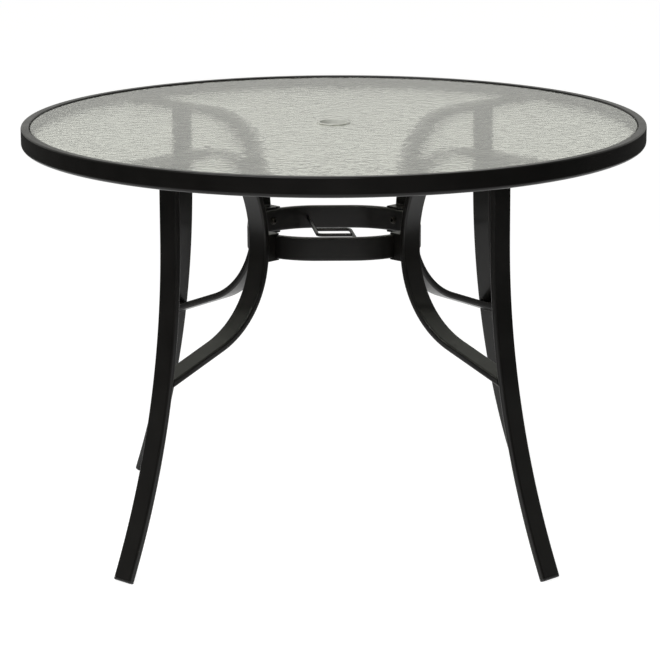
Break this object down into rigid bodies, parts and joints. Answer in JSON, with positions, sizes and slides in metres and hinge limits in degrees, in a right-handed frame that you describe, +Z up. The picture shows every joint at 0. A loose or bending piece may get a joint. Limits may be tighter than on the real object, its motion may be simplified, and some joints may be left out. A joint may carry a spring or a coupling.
{
  "type": "umbrella table",
  "caption": "Round patio table: wavy glass top with an umbrella hole in a dark steel rim, on flared legs with curved braces joined by a centre hoop.",
  "frame": {"origin": "on the floor, under the middle of the table", "axes": "+Z up, +X to the right and -Y to the front, with a leg on each diagonal"},
  "size_m": [1.0668, 1.0668, 0.711],
  "materials": {
    "painted_steel": "black powder coat, satin, with a very fine orange-peel texture",
    "wavy_glass": "clear tempered glass with a pressed water-ripple pattern and polished edges",
    "black_plastic": "plain black moulded plastic, matt",
    "clear_plastic": "milky clear moulded plastic",
    "dark_zinc": "black zinc-plated steel"
  },
  "bodies": {
    "root": {"table_rim": "painted_steel", "glass_top": "wavy_glass", "glass_edge_strip": "black_plastic", "umbrella_hole_ring": "clear_plastic", "centre_hoop": "painted_steel", "guide_rod_left": "painted_steel", "guide_rod_right": "painted_steel", "leg_front_left": "painted_steel", "brace_front_left": "painted_steel", "foot_cap_front_left": "black_plastic", "saddle_front_left": "painted_steel", "hoop_bolt_front_left": "dark_zinc", "hoop_nut_front_left": "dark_zinc", "rim_tab_front_left": "painted_steel", "rim_bolt_outer_front_left": "dark_zinc", "rim_bolt_inner_front_left": "dark_zinc", "rim_nut_outer_front_left": "dark_zinc", "rim_nut_inner_front_left": "dark_zinc", "leg_front_right": "painted_steel", "brace_front_right": "painted_steel", "foot_cap_front_right": "black_plastic", "saddle_front_right": "painted_steel", "hoop_bolt_front_right": "dark_zinc", "hoop_nut_front_right": "dark_zinc", "rim_tab_front_right": "painted_steel", "rim_bolt_outer_front_right": "dark_zinc", "rim_bolt_inner_front_right": "dark_zinc", "rim_nut_outer_front_right": "dark_zinc", "rim_nut_inner_front_right": "dark_zinc", "leg_rear_right": "painted_steel", "brace_rear_right": "painted_steel", "foot_cap_rear_right": "black_plastic", "saddle_rear_right": "painted_steel", "hoop_bolt_rear_right": "dark_zinc", "hoop_nut_rear_right": "dark_zinc", "rim_tab_rear_right": "painted_steel", "rim_bolt_outer_rear_right": "dark_zinc", "rim_bolt_inner_rear_right": "dark_zinc", "rim_nut_outer_rear_right": "dark_zinc", "rim_nut_inner_rear_right": "dark_zinc", "leg_rear_left": "painted_steel", "brace_rear_left": "painted_steel", "foot_cap_rear_left": "black_plastic", "saddle_rear_left": "painted_steel", "hoop_bolt_rear_left": "dark_zinc", "hoop_nut_rear_left": "dark_zinc", "rim_tab_rear_left": "painted_steel", "rim_bolt_outer_rear_left": "dark_zinc", "rim_bolt_inner_rear_left": "dark_zinc", "rim_nut_outer_rear_left": "dark_zinc", "rim_nut_inner_rear_left": "dark_zinc"}
  },
  "joints": []
}
